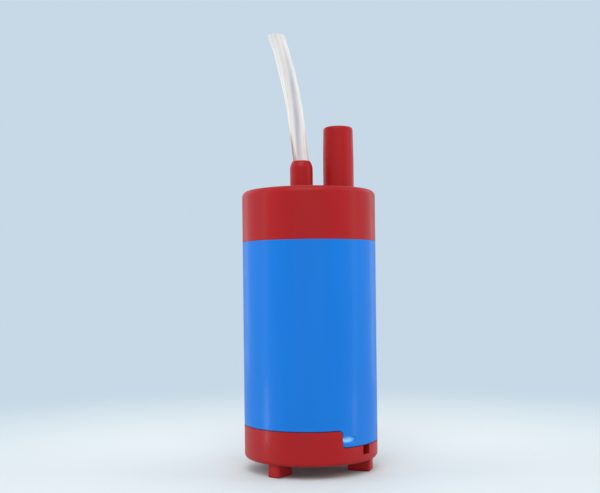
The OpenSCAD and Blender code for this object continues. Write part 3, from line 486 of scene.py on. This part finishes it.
def clear_vinyl(name):
    """Milky vinyl sheath: drawn streaks, painted shade along the gap between the cores, and a
    painted red reflection of the gland beside it.

    The sizes of its patterns are in radii of the tube, as they follow the attribute "lay".
    """
    s = Shader(name, Transmission_Weight=0.1, IOR=1.5, Specular_IOR_Level=0.4)
    s.place = s.add("Attribute", attribute_name="lay").outputs["Vector"]
    streak = s.noise(0.32, detail=3, stretch=(1, 1, 0.03))
    drawn = s.spread(streak, 0, 1, start=0.35, end=0.65)
    tone = s.blend(drawn, (0.62, 0.605, 0.615), (0.84, 0.815, 0.755))
    # Painted shade: a lilac-grey band along the gap between the two cores, following their
    # twist.
    cloud = s.noise(1.6, detail=3, stretch=(1, 1, 0.2))
    deep = s.blend(s.spread(cloud, 0, 0.9, start=0.4, end=0.62), (0.43, 0.43, 0.53), tone)
    groove_shade = s.spread(s.towards(GROOVE_TURN), 0, 0.85, start=0.92, end=1)
    tone = s.blend(groove_shade, tone, deep)
    # Painted reflection of the red gland on the side of the sheath next to it, fading along the
    # tube and broken up by noise.
    red_reflection_noise = s.noise(0.3, detail=3, stretch=(1, 1, 0.1))
    red_reflection_tone = s.blend(s.spread(red_reflection_noise, 0.2, 1, start=0.36, end=0.56), tone, (0.27, 0.075, 0.065))
    red_reflection = s.spread(s.towards(RED_REFLECTION_TURN, RED_REFLECTION_SLOPE), 0, 0.9, start=0.36, end=0.62)
    tone = s.blend(red_reflection, tone, red_reflection_tone)
    rough = s.spread(s.noise(0.5, detail=2, stretch=(1, 1, 0.1)), 0.27, 0.38)
    return s.finished(tone, rough, s.relief(streak, 0.02 * MM))


def insulation(name, colour, deep):
    """Soft wire insulation, slightly waxy."""
    s = Shader(
        name, Specular_IOR_Level=0.4, Subsurface_Weight=0.15, Subsurface_Scale=0.4 * MM
    )
    tone = s.clouds(s.noise(1.5 * MM, detail=4, stretch=(1, 1, 0.3)), deep, colour)
    rough = s.spread(s.noise(0.8 * MM, detail=4), 0.34, 0.5)
    return s.finished(tone, rough, s.relief(s.noise(0.3 * MM, detail=2), 0.01 * MM))


def make_materials():
    """One material for each slot of the record."""
    return {
        "blue_plastic": satin_plastic(
            "blue_plastic",
            colour=(0.0032, 0.163, 0.605),
            deep=(0.0028, 0.155, 0.58),
            wear_and_highlight=(0.05, 0.26, 0.78),
            scoop=True,
        ),
        "red_plastic": satin_plastic(
            "red_plastic",
            colour=(0.352, 0.0088, 0.0108),
            deep=(0.33, 0.0078, 0.0096),
            wear_and_highlight=(0.45, 0.035, 0.036),
        ),
        "black_rubber": rubber("black_rubber"),
        "cable_sheath": insulation(
            "cable_sheath", colour=(0.74, 0.73, 0.71), deep=(0.62, 0.61, 0.60)
        ),
        "grey_plastic": filled_plastic(
            "grey_plastic",
            colour=(0.042, 0.045, 0.052),
            deep=(0.03, 0.032, 0.038),
            fleck=(0.13, 0.135, 0.14),
        ),
        "ivory_plastic": matt_plastic(
            "ivory_plastic",
            colour=(0.75, 0.70, 0.54),
            deep=(0.66, 0.61, 0.46),
            rough_low=0.32,
            rough_high=0.46,
            Subsurface_Weight=0.12,
            Subsurface_Scale=0.8 * MM,
        ),
        "bright_steel": drawn_metal(
            "bright_steel",
            colour=(0.56, 0.57, 0.59),
            tarnish=(0.44, 0.44, 0.45),
            rough_low=0.2,
            rough_high=0.36,
        ),
        "magnet": ferrite("magnet"),
        "bronze": porous_bronze("bronze"),
        "black_plastic": matt_plastic(
            "black_plastic",
            colour=(0.017, 0.018, 0.020),
            deep=(0.011, 0.012, 0.013),
            rough_low=0.38,
            rough_high=0.55,
        ),
        "brass": drawn_metal(
            "brass",
            colour=(0.62, 0.42, 0.13),
            tarnish=(0.42, 0.25, 0.07),
            rough_low=0.22,
            rough_high=0.4,
            stretch=(1, 1, 0.1),
        ),
        "carbon": carbon("carbon"),
        "capacitor": dipped_ceramic("capacitor"),
        "lead_red": insulation(
            "lead_red", colour=(0.30, 0.024, 0.018), deep=(0.23, 0.017, 0.013)
        ),
        "lead_white": insulation(
            "lead_white", colour=(0.90, 0.89, 0.87), deep=(0.82, 0.81, 0.80)
        ),
        "laminations": stacked_sheet("laminations"),
        "insulator": matt_plastic(
            "insulator",
            colour=(0.70, 0.64, 0.46),
            deep=(0.60, 0.54, 0.37),
            rough_low=0.36,
            rough_high=0.5,
            Subsurface_Weight=0.15,
            Subsurface_Scale=0.6 * MM,
        ),
        "copper_wire": enamelled_copper("copper_wire"),
        "copper": turned_copper("copper"),
        "phenolic": phenolic("phenolic"),
    }


# Cable

GLAND_TOP = Vector((-2.3, -1, 103.8)) * MM
CABLE_R = 2.7 * MM
CABLE_SIDES = 40
CABLE_STEPS = 6
CABLE_LEVEL_RUN = 6 * MM
# Points of the route from the gland's top, in millimetres.
CABLE_ROUTE = [
    (0, 0, 0),
    (-0.35, 0, 3),
    (-0.65, -0.1, 6),
    (-1, -0.2, 9),
    (-1.35, -0.4, 12),
    (-1.75, -0.5, 15),
    (-2.2, -0.7, 18),
    (-2.7, -0.9, 21),
    (-3.25, -1.2, 24),
    (-3.9, -1.4, 27),
    (-4.6, -1.7, 30),
    (-5.35, -2, 33),
    (-6.15, -2.4, 36),
    (-7.05, -2.7, 39),
    (-8, -3.1, 41.8),
]
CORE_R = 1.05 * MM
CORE_OFF = 1.12 * MM
CORE_TWIST = math.radians(45)
CORE_START = math.radians(116)
CORE_SIDES = 20
CORE_LEVEL_RUN = 4 * MM
# Turns round the sheath of the painted shade between the cores and of the painted red
# reflection of the gland; the slope makes the reflection fade along the tube.
GROOVE_TURN = math.radians(216)
RED_REFLECTION_TURN = math.radians(130)
RED_REFLECTION_SLOPE = -0.125
STRAND_R = 0.25 * MM
STRAND_RING = 0.52 * MM
STRAND_PROUD = 0.04 * MM
STRAND_DEEP = 0.5 * MM
STRAND_SIDES = 10
STRANDS_ROUND = 6
COPPER_SLOT = 1


def cable_line():
    return smooth_line([GLAND_TOP + Vector(p) * MM for p in CABLE_ROUTE], CABLE_STEPS)


def core_line(line, turn):
    """Path of one core, twisted round the middle of the cable and ending at its level cut."""
    path = []
    last = len(line) - 1
    for i, ((_, u, v), centre) in enumerate(zip(carried_frames(line), line)):
        angle = CORE_START + turn + CORE_TWIST * i / last
        path.append(centre + CORE_OFF * (math.cos(angle) * u + math.sin(angle) * v))
    end = tangents(path)[-1]
    path[-1] = path[-1] + end * ((line[-1].z - path[-1].z) / end.z + STRAND_PROUD / 2)
    return path


def add_strands(bm, line):
    """Ends of a core's copper strands, six round one, level with its cut."""
    t, u, v = carried_frames(line)[-1]
    offsets = []
    for k in range(STRANDS_ROUND):
        angle = math.tau * k / STRANDS_ROUND
        offsets.append(STRAND_RING * (math.cos(angle) * u + math.sin(angle) * v))
    for off in [*offsets, Vector()]:
        tip = line[-1] + off - t * (off.z / t.z)
        strand = [tip - STRAND_DEEP * t, tip, tip + STRAND_PROUD * t]
        add_tube(bm, strand, STRAND_R, STRAND_SIDES, slot=COPPER_SLOT)


def make_cable(materials):
    """Clear sheath on the cable's route, with two twisted cores inside it."""
    line = cable_line()

    def fill_sheath(bm):
        add_tube(bm, line, CABLE_R, CABLE_SIDES, CABLE_LEVEL_RUN, twist=CORE_TWIST)

    def fill_cores(bm):
        for turn in (0, math.pi):
            path = core_line(line, turn)
            add_tube(bm, path, CORE_R, CORE_SIDES, CORE_LEVEL_RUN)
            add_strands(bm, path)

    sheath = new_object("cable_sheath", fill_sheath, [clear_vinyl("clear_vinyl")])
    core_materials = [materials["lead_white"], materials["copper"]]
    cores = new_object("cable_cores", fill_cores, core_materials)
    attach(sheath, "pump_body")
    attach(cores, "pump_body")
    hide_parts("cable")


# Brush springs

Z_BRUSH = 57.3 * MM
TRACK_HALF = 2.6 * MM
SPRING_FROM = 10.67 * MM
SPRING_TO = 15.38 * MM
SPRING_R = 1.39 * MM
SPRING_WIRE_R = 0.21 * MM
SPRING_WIRE_SIDES = 10
SPRING_TURNS = 5.5
SPRING_CLOSED = 0.8
SPRING_CLOSED_PITCH = 2.1 * SPRING_WIRE_R
SPRING_STEPS = 30


def spring_line(side):
    """Helix from the brush to the end of its holder, with closed turns at both ends."""
    start = SPRING_FROM + SPRING_WIRE_R
    end = SPRING_TO - SPRING_WIRE_R
    closed = SPRING_CLOSED * SPRING_CLOSED_PITCH
    line = []
    for i in range(int(SPRING_TURNS * SPRING_STEPS) + 1):
        turn = i / SPRING_STEPS
        from_end = min(turn, SPRING_TURNS - turn)
        if from_end < SPRING_CLOSED:
            x = closed * from_end / SPRING_CLOSED
            x = start + x if turn < SPRING_TURNS / 2 else end - x
        else:
            share = (turn - SPRING_CLOSED) / (SPRING_TURNS - 2 * SPRING_CLOSED)
            x = start + closed + share * (end - start - 2 * closed)
        angle = math.tau * turn
        y = side * SPRING_R * math.cos(angle)
        line.append(Vector((side * x, y, Z_BRUSH + SPRING_R * math.sin(angle))))
    return line


def make_spring(word, side, wire):
    """Coil spring behind one brush, from the brush to the end of its holder."""
    line = spring_line(side)

    def fill(bm):
        add_tube(bm, line, SPRING_WIRE_R, SPRING_WIRE_SIDES)

    spring = new_object(f"coil_spring_{word}", fill, [wire])
    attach(spring, "pump_body")
    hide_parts(f"brush_spring_{word}")
    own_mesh(spring)


def make_springs():
    """Springs behind both brushes, of the same wire."""
    wire = drawn_metal(
        "spring_wire",
        colour=(0.56, 0.57, 0.59),
        tarnish=(0.42, 0.42, 0.43),
        rough_low=0.18,
        rough_high=0.32,
        stretch=(1, 1, 1),
        size=0.15 * MM,
    )
    make_spring("left", -1, wire)
    make_spring("right", 1, wire)


# Wound coils, with heights from the middle of the core

POLES = 5
CORE_MID = 38.65 * MM
NECK_HALF = 1.8 * MM
HEAD_HALF = 10.0 * MM
WIRE_R = 0.3 * MM
WIRE_SIDES = 6
WIRE_SHARP_ANGLE = 70
ROW_FIRST = 5.42 * MM
ROW_PITCH = 0.62 * MM
ROWS = 8
LAYER_PITCH = 0.6 * MM
LAYERS = 5
COIL_SHARE = math.radians(35.2)
COIL_OUT = 10.3 * MM
# Corners of a turn: the side of the neck, the head, and the angle at which the wire starts.
COIL_CORNERS = ((1, 1, 90), (1, -1, 0), (-1, -1, -90), (-1, 1, -180))
COIL_CORNER_STEPS = (0, 30, 60, 90)
HOOK_R = 5.2 * MM
HOOK_TURN = math.radians(32.4)
HOOK_LOW = 15.3 * MM
HOOK_HALF = 0.5 * MM
# Points of a wire on its way from a coil's head to a hook, in millimetres.
HOOK_RISE = [(8.0, 1.6, 12.4), (7.5, 1.9, 13.2), (6.6, 2.3, 14.0)]
HOOK_STEPS = 4


def turns_of_coil():
    """Distance from the axis and height over the neck of each turn, layer on layer."""
    turns = []
    for layer in range(LAYERS):
        over = WIRE_R + LAYER_PITCH * layer
        wide = NECK_HALF + over
        rows = [ROW_FIRST + ROW_PITCH * i for i in range(ROWS)]
        rows = [x for x in rows if wide + WIRE_R <= x * math.tan(COIL_SHARE)]
        rows = [x for x in rows if math.hypot(x, wide) + WIRE_R <= COIL_OUT]
        turns += [(x, over) for x in (rows[::-1] if layer % 2 else rows)]
    return turns


def coil_line():
    """Path of one coil's wire, round the neck of its pole from turn to turn."""
    line = []
    for x, over in turns_of_coil():
        line.append(Vector((x, 0, HEAD_HALF + over)))
        for y_side, z_side, start in COIL_CORNERS:
            for step in COIL_CORNER_STEPS:
                angle = math.radians(start - step)
                y = y_side * NECK_HALF + over * math.cos(angle)
                line.append(Vector((x, y, z_side * HEAD_HALF + over * math.sin(angle))))
    return line


def coil_end_line(side):
    """Path of a wire from the head of a coil to a hook of the commutator."""
    rise = [Vector((x, side * y, z)) * MM for x, y, z in HOOK_RISE]
    across = side * HOOK_R * math.sin(HOOK_TURN)
    hook = Vector((HOOK_R * math.cos(HOOK_TURN), across, HOOK_LOW))
    grip = UP * HOOK_HALF
    return smooth_line([*rise, hook - grip, hook, hook + grip], HOOK_STEPS)


def make_coils(materials):
    """Five coils of enamelled wire, with their ends at the commutator."""
    middle = Matrix.Translation((0, 0, CORE_MID))

    def fill(bm):
        for pole in range(POLES):
            place = middle @ Matrix.Rotation(math.tau * pole / POLES, 4, "Z")
            for line in (coil_line(), coil_end_line(-1), coil_end_line(1)):
                add_tube(bm, [place @ p for p in line], WIRE_R, WIRE_SIDES)

    coils = new_object("wire_coils", fill, [materials["copper_wire"]], WIRE_SHARP_ANGLE)
    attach(coils, "rotor")
    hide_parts("windings")


# Materials of the CAD nodes


def dress_nodes(materials):
    for subpart in frame["record"]["subparts"]:
        slots = frame["nodes"][subpart["node"]].data.materials
        slots.clear()
        slots.append(materials[subpart["material_slot"]])


# Floor and world

BACKDROP = (0.57, 0.69, 0.79)
FLOOR = (0.605, 0.66, 0.68)
FLOOR_R = 8.0
FLOOR_SIDES = 96
FLOOR_NEAR = 0.05
FLOOR_FAR = 0.26
SKY = (1.0, 1.0, 1.0)
SKY_LEVEL = 0.55


def seen_ray(tree):
    """1 for camera, glossy and transmission rays, 0 for the light that falls on surfaces."""
    path = tree.nodes.new("ShaderNodeLightPath")
    share = path.outputs["Is Camera Ray"]
    for ray in ("Is Glossy Ray", "Is Transmission Ray"):
        larger = tree.nodes.new("ShaderNodeMath")
        larger.operation = "MAXIMUM"
        tree.links.new(share, larger.inputs[0])
        tree.links.new(path.outputs[ray], larger.inputs[1])
        share = larger.outputs[0]
    return share


def mix_shaders(tree, share, first, second, output):
    """Sends two shaders, mixed by share, to the output."""
    mix = tree.nodes.new("ShaderNodeMixShader")
    tree.links.new(share, mix.inputs[0])
    tree.links.new(first.outputs[0], mix.inputs[1])
    tree.links.new(second.outputs[0], mix.inputs[2])
    tree.links.new(mix.outputs[0], tree.nodes[output].inputs["Surface"])


def make_world():
    """Soft, even sky that is seen as the pale backdrop."""
    world = bpy.data.worlds.new("studio")
    world.use_nodes = True
    tree = world.node_tree
    light = tree.nodes["Background"]
    light.inputs["Color"].default_value = (*SKY, 1)
    light.inputs["Strength"].default_value = SKY_LEVEL
    seen = tree.nodes.new("ShaderNodeBackground")
    seen.inputs["Color"].default_value = (*BACKDROP, 1)
    mix_shaders(tree, seen_ray(tree), light, seen, "World Output")
    scene.world = world


def floor_material():
    """Pale floor near the pump, which holds its shadow and runs out into the backdrop."""
    s = Shader("floor", Base_Color=(*FLOOR, 1), Roughness=0.9, Specular_IOR_Level=0.0)
    far = s.add("Emission")
    far.inputs["Color"].default_value = (*BACKDROP, 1)
    reach = s.add("VectorMath", operation="LENGTH")
    s.link(s.place, reach.inputs[0])
    share = s.add("MapRange", interpolation_type="SMOOTHSTEP")
    share.inputs["From Min"].default_value = FLOOR_NEAR
    share.inputs["From Max"].default_value = FLOOR_FAR
    s.link(reach.outputs["Value"], share.inputs["Value"])
    seen = s.add("Math", operation="MULTIPLY")
    s.link(share.outputs["Result"], seen.inputs[0])
    s.link(seen_ray(s.tree), seen.inputs[1])
    mix_shaders(s.tree, seen.outputs[0], s.surface, far, "Material Output")
    return s.material


def make_floor():
    def fill(bm):
        bmesh.ops.create_circle(bm, cap_ends=True, radius=FLOOR_R, segments=FLOOR_SIDES)

    new_object("floor", fill, [floor_material()])


# Lamps

AIM = (0, 0, 0.065)
# Radiance of the low glints.
LOW_GLINTS = {"left": 8.0, "right": 4.5}


def make_lamp(name, at, target, size, radiance, glints=True, lights=True):
    """Soft rectangular lamp, turned to its target, for glints, plain light or both."""
    data = bpy.data.lights.new(name, "AREA")
    data.shape = "RECTANGLE"
    data.size, data.size_y = size
    data.energy = radiance * math.pi * size[0] * size[1]
    lamp = bpy.data.objects.new(name, data)
    turn = (Vector(target) - Vector(at)).to_track_quat("-Z", "Y")
    lamp.matrix_world = Matrix.Translation(at) @ turn.to_matrix().to_4x4()
    lamp.visible_camera = False
    lamp.visible_glossy = glints
    lamp.visible_diffuse = lights
    scene.collection.objects.link(lamp)


def make_side_lamps(word, side):
    """Strip in front, rim light behind, soft box and a low glint on one side."""
    make_lamp(
        f"{word}_strip",
        at=(side * 0.24, -0.05, 0.16),
        target=(0, -0.05, 0.16),
        size=(0.045, 0.33),
        radiance=1.8,
    )
    make_lamp(
        f"{word}_rim",
        at=(side * 0.22, 0.2, 0.14),
        target=(0, 0, 0.14),
        size=(0.06, 0.32),
        radiance=1.7,
    )
    make_lamp(
        f"{word}_box",
        at=(side * 0.5, 0.04, 0.2),
        target=AIM,
        size=(0.34, 0.4),
        radiance=2.2,
        glints=False,
    )
    make_lamp(
        f"{word}_low",
        at=(side * 0.066, -0.026, 0.0115),
        target=(0, -0.026, 0.0115),
        size=(0.009, 0.021),
        radiance=LOW_GLINTS[word],
        lights=False,
    )


def make_lamps():
    """Lamps on both sides, a soft key above the camera, a fill below it and a back light."""
    make_side_lamps("left", -1)
    make_side_lamps("right", 1)
    make_lamp("key", at=(-0.03, -0.45, 0.62), target=AIM, size=(0.55, 0.55), radiance=3.0)
    make_lamp(
        "fill", at=(0, -0.6, 0.085), target=AIM, size=(0.6, 0.15), radiance=1.6, glints=False
    )
    make_lamp(
        "back", at=(0, 0.55, 0.4), target=AIM, size=(0.5, 0.4), radiance=2.2, glints=False
    )


make_camera()
materials = make_materials()
make_cable(materials)
make_springs()
make_coils(materials)
dress_nodes(materials)
make_world()
make_floor()
make_lamps()
scene.view_settings.view_transform = "Standard"
